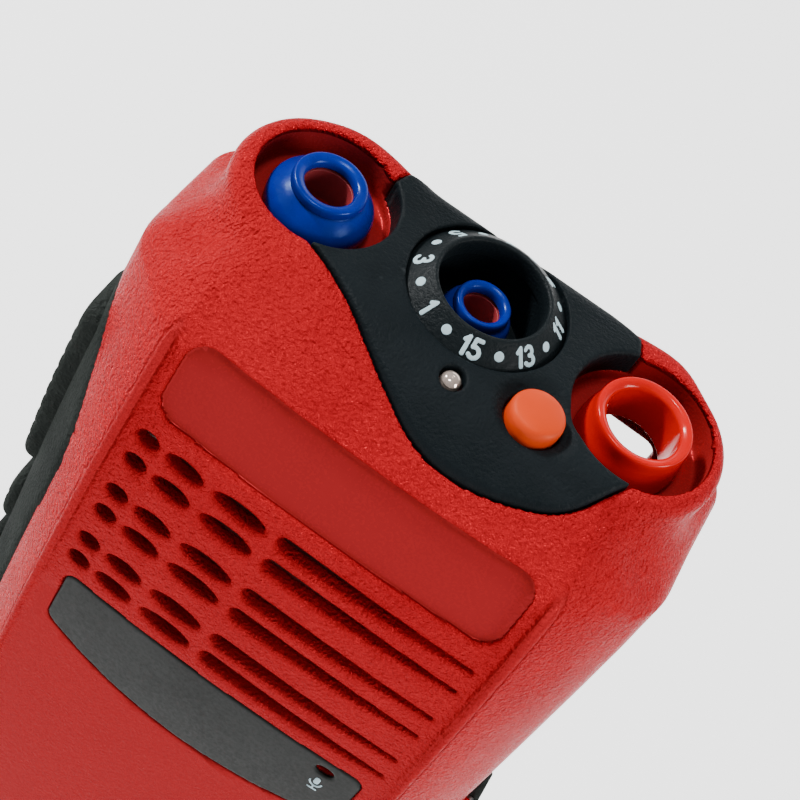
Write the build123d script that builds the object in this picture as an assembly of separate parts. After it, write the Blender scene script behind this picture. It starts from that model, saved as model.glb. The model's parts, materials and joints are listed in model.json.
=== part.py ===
from build123d import *
import os
from math import sqrt

# Portable two-way radio, millimetres. +Z up, the speaker face looks along -Y, +X is the
# wearer's left, seen from the front as the right. The origin is on the base, at the middle.
# The head's top controls and antenna are off: its bay is empty and open at the back.

# ---- driving dimensions ----
TOP_Z = 135.0           # plane of the head's top, around the dial ring
FRONT_Y = -18.75        # foremost line of the front face
BACK_Y = 18.75          # back of the battery
HEAD_BACK_Y = 14.6      # back of the head
PARTING_Y = 6.0         # back edge of the housing's side walls, where the battery meets them
HALF_WIDTH = 28.75      # housing, at the shoulders
LOW_HALF_WIDTH = 28.0   # housing, low down
WALL = 1.9              # housing wall
KEY_PROUD_X = 30.1      # how far the side key and the dust cover reach out
BED_Z = TOP_Z - 3.5     # underside of the head's top wall
GAP = 0.1               # clearance between fixed pieces
SLIDE_GAP = 0.25        # clearance round pieces that move

# front face
FACE_R = 154.0          # the face leans back above FACE_Z along this radius
FACE_Z = 85.5
BROW_R = 9.3            # soft edge between the face and the top
BROW_Y = -3.95          # where that edge leaves the top plane
CREASE_X = 20.1
CREASE_DROP = 1.0       # the face is convex by this much between its creases
CHEEK_X, CHEEK_DROP = 24.2, 5.0
SHOULDER_R = 8.0
SHOULDER_DROP = 6.0     # the shoulders lie this far below the top plane
CROWN_X = 17.9          # the raised middle is flat to here, then slants down
CROWN_FOOT = (24.4, TOP_Z - 6.88)

# top features, from the middle of the dial
DIAL = (0.0, 6.25)
VOLUME = (-17.0, DIAL[1] - 0.3)
ANTENNA = (17.4, DIAL[1] - 1.3)
BUTTON = (9.2, DIAL[1] - 8.4)
LENS = (1.5, DIAL[1] - 10.0)
VOLUME_WELL_R, ANTENNA_WELL_R = 6.95, 7.2
WELL_DEPTH = 4.0
WELL_FLOOR = 1.5
CUP_WALL = 0.8
RING_R, RING_HOLE_R, RING_RISE = 8.0, 5.25, 1.5
DIAL_WELL_R, DIAL_WELL_DEPTH = 6.6, 5.9
VOLUME_HOLE_R, CHANNEL_HOLE_R, ANTENNA_HOLE_R = 2.35, 1.8, 3.6
BUSH_WALL = 0.5         # tubes that the two rubber boots stand on
BUTTON_R, LENS_R = 2.6, 1.1
TRIM = 1.6              # thickness of the escutcheon
TRIM_LOW_Z = 130.0      # the escutcheon lies above this
TRIM_BED_SPREAD = 1.01  # its bed is this much wider, which leaves a fine groove

# front features, heights measured down from the top plane
LABEL_TOP, LABEL_BOTTOM, LABEL_WIDTH, LABEL_R, LABEL_DEPTH = 6.4, 15.0, 36.2, 2.3, 0.6
SLOT_FIRST, SLOT_PAIR, SLOT_PERIOD, SLOT_PAIRS = 18.1, 3.05, 7.5, 3
BAND_TOP, BAND_BOTTOM, BAND_END_BOTTOM, BAND_HALF = 38.6, 50.1, 46.6, 17.3
BAND_DEPTH = 0.5
MIC = (13.5, TOP_Z - 40.4)

# side keys on the left, heights on the Z axis
BEZEL_DEPTH = 1.2
KEY_Y = -0.6
# each key: height of its middle, how tall, how deep along Y, how far out its face is
KEYS = {"ptt_button": (101.0, 27.0, 8.4, KEY_PROUD_X), "side_key_upper": (79.0, 9.0, 7.0, 29.6),
        "side_key_lower": (67.0, 9.0, 7.0, 29.6)}
FLANGE_X = (25.0, 25.8)  # the flange that holds a key in, behind the wall

# dust cover on the right
HINGE = (29.2, 79.2)     # X and Z of its pin
HINGE_Y = 1.0            # middle of the cover along Y
PIN_R = 0.5

# inside
CHASSIS_HALF = 23.2
CHASSIS_TOP = 112.8
SPEAKER_Z, SPEAKER_R = 106.0, 16.0
SCREWS = [(x, z) for x in (-24.7, 24.7) for z in (8.0, 50.0)]
BATTERY_TOP = 111.4


def box(x, y, z):
    """A box from three (low, high) pairs."""
    middle = [(low + high) / 2 for low, high in (x, y, z)]
    return Pos(*middle) * Box(x[1] - x[0], y[1] - y[0], z[1] - z[0])


def soft_box(x, y, z, radius):
    """A box with every edge rounded."""
    solid = box(x, y, z)
    return fillet(solid.edges(), radius)


def post(at, z, radius):
    """An upright cylinder at an (x, y) place."""
    return Pos(at[0], at[1], (z[0] + z[1]) / 2) * Cylinder(radius, z[1] - z[0])


def along_y(sketch, y):
    """A sketch drawn in X and Z, as a prism between two Y values."""
    return Pos(0, y[1], 0) * extrude(Plane.XZ * sketch, amount=y[1] - y[0])


def along_x(sketch, x):
    """A sketch drawn in Y and Z, as a prism between two X values."""
    return Pos(x[0], 0, 0) * extrude(Plane.YZ * sketch, amount=x[1] - x[0])


def turned(points, at):
    """A ring turned about an upright axis from its (radius, height) outline."""
    outline = make_face(Polyline(*points, close=True))
    return Pos(at[0], at[1], 0) * revolve(Plane.XZ * outline, axis=Axis.Z)


def face_y(z):
    """Y of the middle of the front face at a height."""
    if z <= FACE_Z:
        return FRONT_Y
    return FRONT_Y + FACE_R - sqrt(FACE_R**2 - (z - FACE_Z) ** 2)


# ---- the outer skin, which every front piece is cut from ----
def plan(z, inset):
    """Plan of the skin at one height: a convex face, two cheeks and open flat sides."""
    front = face_y(min(z, 129.0)) + max(z - 129.0, 0) * 0.28
    far_x = 31.0
    far_drop = CHEEK_DROP + (far_x - CHEEK_X) * 2.1
    crease = (CREASE_X, front + CREASE_DROP)
    cheek = (CHEEK_X, front + CHEEK_DROP)
    far = (far_x, front + far_drop)
    back = (far_x, 30.0)
    face = ThreePointArc((-crease[0], crease[1]), (0, front), crease)
    rest = Polyline(crease, cheek, far, back, (-back[0], back[1]), (-far[0], far[1]),
                    (-cheek[0], cheek[1]), (-crease[0], crease[1]))
    outline = make_face([face, rest])
    if inset:
        outline = offset(outline, amount=-inset, kind=Kind.INTERSECTION)
    return Pos(0, 0, z) * outline


def profile(inset):
    """The skin seen from the side: flat top, soft brow, rounded back edge."""
    low, top, back = inset - 1, TOP_Z - inset, HEAD_BACK_Y - inset
    brow = BROW_R - min(inset, 1.0)
    brow_low = top - 7.0
    brow_face = face_y(brow_low) + inset
    edges = [
        Line((-25, low), (-25, brow_low)),
        Line((-25, brow_low), (brow_face, brow_low)),
        RadiusArc((brow_face, brow_low), (BROW_Y, top), brow),
        Line((BROW_Y, top), (back - 2.5, top)),
        RadiusArc((back - 2.5, top), (back, top - 2.5), 2.5),
        Line((back, top - 2.5), (back, low)),
        Line((back, low), (-25, low)),
    ]
    return along_x(make_face(edges), (-40, 40))


def elevation(inset):
    """The skin seen from the front: tapered sides, round shoulders, a raised middle."""
    low, wide, narrow = inset - 1, HALF_WIDTH - inset, LOW_HALF_WIDTH - inset
    top = TOP_Z - inset
    side_top = TOP_Z - SHOULDER_DROP - inset - SHOULDER_R
    foot_x, foot_z = CROWN_FOOT[0] - inset, CROWN_FOOT[1] - inset
    right = Polyline((narrow, low), (narrow, 80.0), (wide, 117.0), (wide, side_top))
    shoulder = RadiusArc((wide, side_top), (foot_x, foot_z), -SHOULDER_R)
    crown = Polyline((foot_x, foot_z), (CROWN_X - inset, top), (inset - CROWN_X, top),
                     (-foot_x, foot_z))
    other = RadiusArc((-foot_x, foot_z), (-wide, side_top), -SHOULDER_R)
    left = Polyline((-wide, side_top), (-wide, 117.0), (-narrow, 80.0), (-narrow, low),
                    (narrow, low))
    return along_y(make_face([right, shoulder, crown, other, left]), (-40, 40))


def lobe(at, radius, inset):
    """One of the head's two round towers."""
    tower = post(at, (116.0, TOP_Z - inset), radius - inset)
    return fillet(tower.faces().sort_by(Axis.Z)[-1].edges(), 1.6)


def skin(inset=0.0):
    """The body's outer form, or the same form drawn in by a wall."""
    heights = [inset - 1, FACE_Z, 100.0, 114.5, 129.0, 140.0]
    shell = loft([plan(z, inset) for z in heights], ruled=True)
    shell = shell & profile(inset) & elevation(inset)
    shell = shell & box((-40, 40), (-40, 40), (inset, 140))
    return shell + lobe(VOLUME, 9.0, inset) + lobe(ANTENNA, 8.6, inset)


SKIN = skin()
INNER = skin(WALL)
KEY_ROOM = skin(WALL + 0.35)


def inlay(prism, depth):
    """The layer of the skin, this deep from the front, that lies inside a prism."""
    return (SKIN & prism) - Pos(0, depth, 0) * SKIN


# ---- outlines ----
def trim_outline(spread=1.0):
    """Plan of the escutcheon: a leaf that the two wells bite into."""
    front = [(-16.2, -6.4), (-10.6, -8.9), (-6.2, -11.6), (-2.7, -13.6), (1.7, -15.5), (6.1, -16.0),
             (11.4, -15.1), (15.8, -13.1), (19.0, -8.4)]
    back = [(19.0, -8.4), (13.4, 6.2), (0.4, 7.5), (-12.0, 6.7), (-16.2, -6.4)]
    edge = Spline(*[(x * spread, y * spread) for x, y in front])
    rear = Polyline(*[(x * spread, y * spread) for x, y in back])
    leaf = Pos(*DIAL) * make_face([edge, rear])
    for centre, radius in ((VOLUME, VOLUME_WELL_R), (ANTENNA, ANTENNA_WELL_R)):
        leaf = leaf - Pos(*centre) * Circle(radius + 0.05)
    return leaf


def label_outline():
    height = LABEL_BOTTOM - LABEL_TOP
    middle = TOP_Z - (LABEL_TOP + LABEL_BOTTOM) / 2
    return Pos(0, middle) * RectangleRounded(LABEL_WIDTH, height, LABEL_R)


def band_outline(shrink=0.0):
    half, top = BAND_HALF - shrink, TOP_Z - BAND_TOP - shrink
    low, end = TOP_Z - BAND_BOTTOM + shrink, TOP_Z - BAND_END_BOTTOM + shrink
    smile = ThreePointArc((-half, end), (0, low), (half, end))
    outline = make_face([smile, Polyline((half, end), (half, top), (-half, top), (-half, end))])
    return fillet(outline.vertices(), 1.2)


def bezel_outline(shrink=0.0):
    """The side-key surround in Y and Z, with its swept front edge."""
    s = shrink
    edge = Spline((5.5 - s, 121.5 - s), (-2.0 + s, 121.2 - s), (-6.5 + s, 117.5), (-9.0 + s, 112.0),
                  (-10.6 + s, 106.0), (-11.0 + s, 98.0), (-11.0 + s, 76.0), (-9.5 + s, 65.0),
                  (-4.0 + s, 56.8 + s), (5.5 - s, 56.0 + s))
    return make_face([edge, Line((5.5 - s, 56.0 + s), (5.5 - s, 121.5 - s))])


def slot_row(z):
    """One row of the speaker grille: a dot, two ovals and a tapering slot."""
    dot = Pos(-17.0, z) * Ellipse(1.2, 0.9)
    short = Pos(-12.9, z) * Ellipse(2.05, 0.9)
    long = Pos(-6.8, z) * Ellipse(2.85, 0.95)
    taper = make_face([Polyline((-1.75, z + 0.95), (5.0, z + 0.85), (17.9, z + 0.15), (17.9, z - 0.15),
                                (5.0, z - 0.85), (-1.75, z - 0.95)),
                       ThreePointArc((-1.75, z - 0.95), (-2.7, z), (-1.75, z + 0.95))])
    return [dot, short, long, taper]


def slot_rows():
    rows = []
    for pair in range(SLOT_PAIRS):
        for step in (0, SLOT_PAIR):
            rows.append(TOP_Z - SLOT_FIRST - pair * SLOT_PERIOD - step)
    return rows


def key_prism(name, x, grow=0.0):
    """The rounded bar of one side key, between two X values."""
    z, tall, deep, _ = KEYS[name]
    bar = Pos(KEY_Y, z) * RectangleRounded(deep + 2 * grow, tall + 2 * grow, 2.6)
    return along_x(bar, x)


# ---- the housing and what is set into it ----
def front_housing():
    body = SKIN - INNER
    # behind the side walls only the head reaches back, with a floor over the battery
    body = body - box((-40, 40), (PARTING_Y, 40), (-5, 112.0))
    floor = box((-26.5, 26.5), (PARTING_Y, HEAD_BACK_Y - 1), (112.0, 113.6)) & SKIN
    body = body + floor
    # the rear window of the empty bay
    window = along_y(Pos(0, 119.6) * RectangleRounded(42.0, 10.8, 1.5), (9.0, 20.0))
    body = body - window
    roof = (SKIN & box((-40, 40), (-20, 20), (BED_Z, 136))) - box((-40, 40), (-40, -9), (100, 131.6))
    body = body + roof
    wells = ((VOLUME, VOLUME_WELL_R), (ANTENNA, ANTENNA_WELL_R))
    for centre, radius in wells:
        cup = post(centre, (TOP_Z - WELL_DEPTH - WELL_FLOOR, BED_Z + 1), radius + CUP_WALL) & SKIN
        body = body + cup
    for centre, radius in wells:
        body = body - post(centre, (TOP_Z - WELL_DEPTH, 140), radius)
    low = TOP_Z - WELL_DEPTH - WELL_FLOOR
    body = body + post(VOLUME, (low, TOP_Z - 0.62), VOLUME_HOLE_R + BUSH_WALL)
    body = body - post(VOLUME, (120, 140), VOLUME_HOLE_R)
    body = body - post(ANTENNA, (120, 140), 4.9 + GAP)
    # the escutcheon's bed, its dial well, the button and the lens
    body = body - (trim_prism(TRIM_BED_SPREAD) - profile(TRIM + GAP))
    body = body - post(DIAL, (120, 140), DIAL_WELL_R + GAP)
    body = body - post(BUTTON, (120, 140), BUTTON_R + SLIDE_GAP)
    body = body - post(LENS, (120, 140), LENS_R + GAP)
    body = body - post(DIAL, (TOP_Z - 0.7, 140), RING_R + GAP)
    # the front: label recess, band bed, speaker slots, microphone hole
    body = body - inlay(along_y(label_outline(), (-30, 0)), LABEL_DEPTH)
    body = body - inlay(along_y(band_outline(), (-30, 0)), BAND_DEPTH)
    for z in slot_rows():
        for hole in slot_row(z):
            body = body - along_y(hole, (-30, face_y(z) + WALL + 1.5))
    body = body - along_y(Pos(*MIC) * Ellipse(1.0, 0.6), (-30, -14.0))
    # the side-key bed and its three windows
    bed = along_x(bezel_outline(), (-40, -18)) & SKIN
    body = body - (bed - skin(BEZEL_DEPTH))
    for name in KEYS:
        body = body - key_prism(name, (-40, -20), SLIDE_GAP)
    # the accessory window on the right, and the ears for its cover's pin
    body = body - box((20, 40), (-1.5, 3.5), (58.0, 76.0))
    for ear in hinge_ears():
        body = body + ear
    # bosses for the chassis screws, and two that carry the top control board
    for x, z in SCREWS:
        middle = x / abs(x) * 25.5
        boss = box((middle - 2.0, middle + 2.0), (-2.0, 3.4), (z - 2.5, z + 2.5))
        body = body + (boss - disc_y(x, z, 0.85, (-1.0, 5.0)))
    for place in ((-1.2, -5.2), (12.2, -5.8)):
        body = body + post(place, (127.05, BED_Z + 0.5), 0.8)
    return body


def trim_prism(spread=1.0):
    return extrude(Pos(0, 0, TRIM_LOW_Z) * trim_outline(spread), amount=10)


def top_escutcheon():
    trim = (SKIN & trim_prism()) - profile(TRIM)
    floor = TOP_Z - DIAL_WELL_DEPTH
    well = post(DIAL, (floor - 1.2, TOP_Z - 1), DIAL_WELL_R)
    trim = trim + well
    trim = trim - post(DIAL, (floor, 140), RING_HOLE_R + 0.15)
    trim = trim - post(DIAL, (120, 140), CHANNEL_HOLE_R + BUSH_WALL)
    trim = trim - post(DIAL, (TOP_Z - 0.6, 140), RING_R + 0.05)
    trim = trim - post(BUTTON, (120, 140), BUTTON_R + SLIDE_GAP)
    dish = Pos(BUTTON[0], BUTTON[1], TOP_Z + 6.6) * Sphere(7.4)
    trim = trim - dish
    return trim - post(LENS, (120, 140), LENS_R + 0.05)


def channel_number_ring():
    low, rim = TOP_Z - 0.6, TOP_Z + RING_RISE
    outline = [(RING_HOLE_R, low), (RING_R, low), (RING_R, TOP_Z + 0.1), (RING_HOLE_R + 0.35, rim),
               (RING_HOLE_R, rim - 0.25)]
    return turned(outline, DIAL)


def shaft_seal(at, floor, foot_r, crown_r, hole_r, crown_z):
    """A rubber boot: a foot on the well's floor, a dome, a groove and a round crown.
    It is hollow below its lip and stands round the shaft's tube."""
    tube = 0.62
    inner = hole_r + BUSH_WALL + GAP
    lip = crown_z - 1.15
    foot = [(inner, floor), (foot_r, floor), (foot_r, floor + 1.6), (foot_r - 0.3, floor + 2.6),
            (crown_r + 0.1, crown_z - 1.35), (crown_r - 0.2, crown_z - 1.0),
            (crown_r - 0.2, crown_z - tube), (hole_r, crown_z - tube), (hole_r, lip), (inner, lip)]
    boot = turned(foot, at)
    ring_r = (crown_r + hole_r) / 2
    half = (crown_r - hole_r) / 2
    crown = Pos(at[0], at[1], crown_z - tube) * revolve(
        Plane.XZ * (Pos(ring_r, 0) * Ellipse(half, tube)), axis=Axis.Z)
    return boot + crown


def channel_shaft_bushing():
    """The red tube that the channel shaft turns in, pressed into the dial well's floor."""
    floor, outer = TOP_Z - DIAL_WELL_DEPTH, CHANNEL_HOLE_R + BUSH_WALL
    outline = [(CHANNEL_HOLE_R, floor - 1.2), (outer, floor - 1.2), (outer, floor + 3.75),
               (CHANNEL_HOLE_R, floor + 3.75)]
    return turned(outline, DIAL)


def antenna_collar():
    floor, rim, bore = TOP_Z - WELL_DEPTH, TOP_Z + 0.3, ANTENNA_HOLE_R
    outline = [(bore, floor - 0.5), (4.9, floor - 0.5), (4.9, floor), (5.15, floor),
               (5.15, floor + 1.5), (4.75, floor + 2.6), (4.7, rim - 0.4), (4.4, rim), (4.0, rim),
               (bore, rim - 0.4)]
    return turned(outline, ANTENNA)


def emergency_button():
    stem = post(BUTTON, (BED_Z - 1.2, TOP_Z + 1.2), BUTTON_R)
    stem = fillet(stem.faces().sort_by(Axis.Z)[-1].edges(), 0.9)
    flange = post(BUTTON, (BED_Z - 1.2, BED_Z - 0.1), BUTTON_R + 0.8)
    clear_of_well = post(ANTENNA, (120, 140), ANTENNA_WELL_R + CUP_WALL + SLIDE_GAP)
    return stem + (flange - clear_of_well)


def status_light_lens():
    rod = post(LENS, (BED_Z - 0.4, TOP_Z - 0.1), LENS_R)
    return fillet(rod.faces().sort_by(Axis.Z)[-1].edges(), 0.6)


def front_band_label():
    prism = along_y(band_outline(GAP), (-30, 0))
    band = (SKIN & prism) - Pos(0, BAND_DEPTH - 0.05, 0) * SKIN
    return band - along_y(Pos(*MIC) * Ellipse(1.0, 0.6), (-30, 0))


def side_key_bezel():
    prism = along_x(bezel_outline(GAP), (-40, -18))
    bezel = (SKIN & prism) - skin(BEZEL_DEPTH - 0.05)
    for name in KEYS:
        bezel = bezel - key_prism(name, (-40, -20), SLIDE_GAP)
    return bezel


def side_key(name):
    """A key bar that passes the wall, with a flange inside that holds it in."""
    z, tall, deep, proud = KEYS[name]
    bar = key_prism(name, (-proud, -FLANGE_X[0]))
    bar = fillet(bar.faces().sort_by(Axis.X)[0].edges(), 1.0)
    flange = box((-FLANGE_X[1], -FLANGE_X[0]), (KEY_Y - deep / 2 - 0.4, KEY_Y + deep / 2 + 0.4),
                 (z - tall / 2 - 0.8, z + tall / 2 + 0.8))
    return bar + (flange & KEY_ROOM)


# ---- electronics under the head and along the left side ----
def side_switch_flex():
    flex = box((-23.6, -23.4), (-4.6, 2.6), (60.0, 117.0))
    for z, _, _, _ in KEYS.values():
        flex = flex + Pos(-23.7, KEY_Y, z) * Rot(0, 90, 0) * Cylinder(2.0, 0.4)
    return flex


def top_control_board():
    return box((-2.5, 13.0), (-6.6, -0.6), (126.0, 127.0))


def emergency_switch():
    x, y = BUTTON
    body = box((x - 2.2, x + 2.2), (y - 1.4, y + 1.4), (127.0, 128.1))
    return body + post(BUTTON, (128.0, 128.6), 1.0)


def status_led():
    x, y = LENS
    return box((x - 1.0, x + 1.0), (y - 0.8, y + 0.8), (127.0, 127.9))


def disc_y(x, z, radius, y):
    """A disc that faces along Y."""
    return Pos(x, (y[0] + y[1]) / 2, z) * Rot(90, 0, 0) * Cylinder(radius, y[1] - y[0])


def speaker_frame():
    frame = disc_y(0, SPEAKER_Z, SPEAKER_R, (-11.4, -9.4))
    frame = frame - disc_y(0, SPEAKER_Z, SPEAKER_R - 1.2, (-12.0, -10.0))
    return frame - disc_y(0, SPEAKER_Z, 7.5, (-12.0, -9.0))


def speaker_cone():
    bowl = Pos(0, -10.6, SPEAKER_Z) * Rot(90, 0, 0) * Cone(13.6, 7.2, 0.5)
    return bowl - disc_y(0, SPEAKER_Z, 3.0, (-12, -9))


def speaker_magnet():
    return disc_y(0, SPEAKER_Z, 8.6, (-9.4, -6.4))


def speaker_felt():
    return disc_y(0, SPEAKER_Z, SPEAKER_R, (-11.8, -11.4))


def speaker_retainer():
    bar = box((-20.5, 20.5), (-9.3, -8.5), (SPEAKER_Z - 10.5, SPEAKER_Z + 10.5))
    return bar - disc_y(0, SPEAKER_Z, 8.8, (-10, -8))


def microphone():
    return disc_y(*MIC, 2.0, (-15.0, -13.2))


def microphone_boot():
    boot = disc_y(*MIC, 3.0, (-15.5, -12.8))
    boot = boot - disc_y(*MIC, 2.0, (-15.0, -12.0))
    return boot - disc_y(*MIC, 0.8, (-16.0, -15.0))


def chassis_frame():
    """The cast frame: a tray that holds the board, with a wider plate at its back."""
    tray = box((-CHASSIS_HALF, CHASSIS_HALF), (-1.8, 4.2), (5.0, CHASSIS_TOP - 2))
    plate = box((-26.0, 26.0), (4.2, PARTING_Y - 0.1), (3.0, CHASSIS_TOP - 1.2))
    frame = tray + plate
    frame = frame - box((-21.6, 21.6), (-3, 3.0), (7.0, CHASSIS_TOP - 4))
    for z in (30.0, 54.0, 78.0):
        frame = frame + box((-21.6, 21.6), (0.4, 3.0), (z, z + 1.2))
    frame = frame - box((-8.0, 8.0), (-3, 10), (14.0, 22.0))
    for x, z in SCREWS:
        frame = frame - disc_y(x, z, 1.4, (4.6, 9.0)) - disc_y(x, z, 0.9, (3.0, 9.0))
    return frame


def chassis_screws():
    screws = []
    for x, z in SCREWS:
        screw = disc_y(x, z, 1.3, (4.65, PARTING_Y - 0.1)) + disc_y(x, z, 0.8, (0.0, 5.0))
        slot = box((x - 0.9, x + 0.9), (5.4, 7.0), (z - 0.2, z + 0.2))
        screws.append(screw - slot)
    return Compound(screws)


def main_seal():
    """A rubber band round the tray, against the back plate."""
    half, low, high = CHASSIS_HALF + 0.6, 3.6, CHASSIS_TOP - 1.4
    height, middle = high - low, (low + high) / 2
    outer = along_y(Pos(0, middle) * RectangleRounded(2 * half, height, 1.5), (3.5, 4.15))
    inner = box((-CHASSIS_HALF - 0.1, CHASSIS_HALF + 0.1), (3, 5), (low + 1.0, high - 0.4))
    return outer - inner


def main_board():
    return box((-22.8, 22.8), (-3.1, -1.9), (6.0, CHASSIS_TOP - 3))


def shield_cans():
    cans = [soft_box((-20, -2), (-5.6, -3.1), (12, 44), 0.5),
            soft_box((2, 20), (-5.6, -3.1), (12, 44), 0.5),
            soft_box((-20, 6), (-5.6, -3.1), (50, 82), 0.5)]
    return Compound(cans)


def board_connector():
    return box((10.0, 20.0), (-5.0, -3.1), (52.0, 58.0))


def battery_contact_block():
    return box((-7.8, 7.8), (0.0, 5.7), (14.2, 21.8)) - contact_slots(0.1)


def contact_places():
    return (-5.4, -1.8, 1.8, 5.4)


def contact_slots(grow):
    slots = [box((x - 0.8 - grow, x + 0.8 + grow), (3.0, 7.0), (15.6 - grow, 20.4 + grow))
             for x in contact_places()]
    return Compound(slots)


def battery_contact_springs():
    return Compound([box((x - 0.8, x + 0.8), (3.0, 6.15), (15.6, 20.4)) for x in contact_places()])


# ---- the accessory socket and its cover, on the right ----
def accessory_contact_block():
    return box((24.2, 27.2), (-1.4, 3.2), (58.1, 75.9)) - accessory_pads(0.05)


def accessory_pads(grow=0.0):
    pads = [box((26.7, 27.5), (-0.2 - grow, 2.2 + grow), (z - 0.8 - grow, z + 0.8 + grow))
            for z in (60.5, 63.7, 66.9, 70.1, 73.3)]
    return Compound(pads)


def along_pin(y, length, radius):
    """A cylinder on the dust cover's hinge line."""
    return Pos(HINGE[0], y, HINGE[1]) * Rot(90, 0, 0) * Cylinder(radius, length)


def accessory_dust_cover():
    """A flap over the contacts, with a knuckle round the pin at its top."""
    flap = box((28.2, KEY_PROUD_X), (HINGE_Y - 3.5, HINGE_Y + 3.5), (54.0, 77.6))
    flap = fillet(flap.faces().sort_by(Axis.X)[-1].edges(), 0.8)
    neck = box((28.4, KEY_PROUD_X - 0.2), (HINGE_Y - 2, HINGE_Y + 2), (77.0, HINGE[1]))
    knuckle = along_pin(HINGE_Y, 4.0, 0.9)
    return (flap + neck + knuckle) - along_pin(HINGE_Y, 20, PIN_R + 0.05)


def hinge_ears():
    """Two ears on the housing that hold the dust cover's pin."""
    ears = []
    for y in (HINGE_Y - 3.2, HINGE_Y + 3.2):
        ear = box((27.6, KEY_PROUD_X - 0.1), (y - 0.8, y + 0.8), (78.3, 80.1))
        ears.append(ear - along_pin(y, 4, PIN_R))
    return ears


def dust_cover_hinge_pin():
    return along_pin(HINGE_Y, 8.0, PIN_R)


# ---- the battery ----
def battery_outline(inset):
    """The battery from the side, with a sloping top and a bevelled foot."""
    i = inset
    front, back = 6.3 + i, BACK_Y - i
    points = [(front, 1.0 + i), (15.5 - i * 0.6, 1.0 + i), (back, 4.6 + i * 0.4), (back, 102.0 - i * 0.4),
              (14.8 - i * 0.5, BATTERY_TOP - i), (front, BATTERY_TOP - i)]
    return make_face(Polyline(*points, close=True))


def battery_shell(inset):
    half = LOW_HALF_WIDTH + 0.2 - inset
    shell = along_x(battery_outline(inset), (-half, half))
    rounded = shell.edges().filter_by(Axis.Z).sort_by(Axis.Y)[-2:]
    return fillet(rounded, 3.2 - inset)


def battery_case():
    case = battery_shell(0) - battery_shell(1.6)
    case = case - box((-26.4, 26.4), (0, 8.0), (3.0, BATTERY_TOP - 1.8))
    # side slots for the latch's arms, and a finger groove across the back
    for side in (-1, 1):
        arm = sorted((side * 24.5, side * 40))
        case = case - box(arm, (9.4, 12.6), (92.5, 106.0))
    for z in (20.0, 24.0, 28.0, 32.0):
        case = case - box((-18, 18), (BACK_Y - 0.5, 20), (z, z + 1.6))
    # seats for the belt clip's two rails
    for side in (-1, 1):
        case = case - box(sorted((side * 8.0, side * 10.5)), (BACK_Y - 1.0, 20), (70.0, 92.0))
    # a shelf that the latch springs stand on
    case = case + box((-22, 22), (9.0, BACK_Y - 1.0), (90.4, 92.0))
    return case - inlay_box(0.0)


def inlay_box(grow):
    return box((-19 + grow, 19 - grow), (BACK_Y - 0.4, 20), (40.0 + grow, 64.0 - grow))


def battery_lid():
    lid = box((-26.2, 26.2), (6.4, 7.8), (3.2, BATTERY_TOP - 2.0))
    return lid - pad_boxes(0.05)


def pad_boxes(grow=0.0):
    return Compound([box((x - 1.2 - grow, x + 1.2 + grow), (6.4 - grow, 6.9 + grow), (15.2 - grow, 20.8 + grow))
                     for x in contact_places()])


def battery_cells():
    cells = []
    for x in (-19.0, 0.4):
        for z in (7.0, 49.0):
            cells.append(soft_box((x, x + 18.6), (8.2, 16.4), (z, z + 40.0), 1.2))
    return Compound(cells)


def battery_latch():
    """A yoke inside the battery with a thumb tab on each side."""
    yoke = box((-24.2, 24.2), (9.7, 12.3), (101.0, 104.0))
    for side in (-1, 1):
        arm = box(sorted((side * 23.0, side * 28.5)), (9.7, 12.3), (101.0, 104.0))
        tab = box(sorted((side * 28.4, side * 29.5)), (8.4, 13.6), (96.5, 105.5))
        outer = tab.faces().sort_by(Axis.X)[-1 if side > 0 else 0]
        yoke = yoke + arm + fillet(outer.edges(), 0.4)
    return yoke


def latch_springs():
    coils = []
    for x in (-14.0, 14.0):
        coils.append(post((x, 11.0), (92.05, 100.95), 1.2) - post((x, 11.0), (92.0, 101.0), 0.8))
    return Compound(coils)


def battery_label_plate():
    return inlay_box(0.1) & box((-30, 30), (0, BACK_Y - 0.1), (0, 130))


# ---- write one file for each piece ----
def write(name, shape):
    shape.label = name
    export_step(shape, f"parts/{name}.step")


def main():
    os.makedirs("parts", exist_ok=True)
    write("front_housing", front_housing())
    write("top_escutcheon", top_escutcheon())
    write("channel_number_ring", channel_number_ring())
    well, dial_well = TOP_Z - WELL_DEPTH, TOP_Z - DIAL_WELL_DEPTH
    write("volume_shaft_seal", shaft_seal(VOLUME, well, 5.05, 3.55, VOLUME_HOLE_R, TOP_Z + 0.7))
    write("channel_shaft_seal", shaft_seal(DIAL, dial_well, 3.4, 2.7, CHANNEL_HOLE_R, TOP_Z - 0.8))
    write("channel_shaft_bushing", channel_shaft_bushing())
    write("antenna_collar", antenna_collar())
    write("emergency_button", emergency_button())
    write("status_light_lens", status_light_lens())
    write("front_band_label", front_band_label())
    write("side_key_bezel", side_key_bezel())
    for name in KEYS:
        write(name, side_key(name))
    plain = [side_switch_flex, top_control_board, emergency_switch, status_led, speaker_frame,
             speaker_cone, speaker_magnet, speaker_felt, speaker_retainer, microphone,
             microphone_boot, chassis_frame, chassis_screws, main_seal, main_board, shield_cans,
             board_connector, battery_contact_block, battery_contact_springs,
             accessory_contact_block, accessory_dust_cover, dust_cover_hinge_pin, battery_cells,
             battery_latch, latch_springs, battery_label_plate, battery_lid]
    for piece in plain:
        write(piece.__name__, piece())
    write("accessory_contacts", accessory_pads())
    write("battery_pads", pad_boxes())
    write("battery_case", battery_case())


main()
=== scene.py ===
import json
import math

import bmesh
import bpy
import numpy as np
import openvdb
from mathutils import Matrix, Vector


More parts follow.
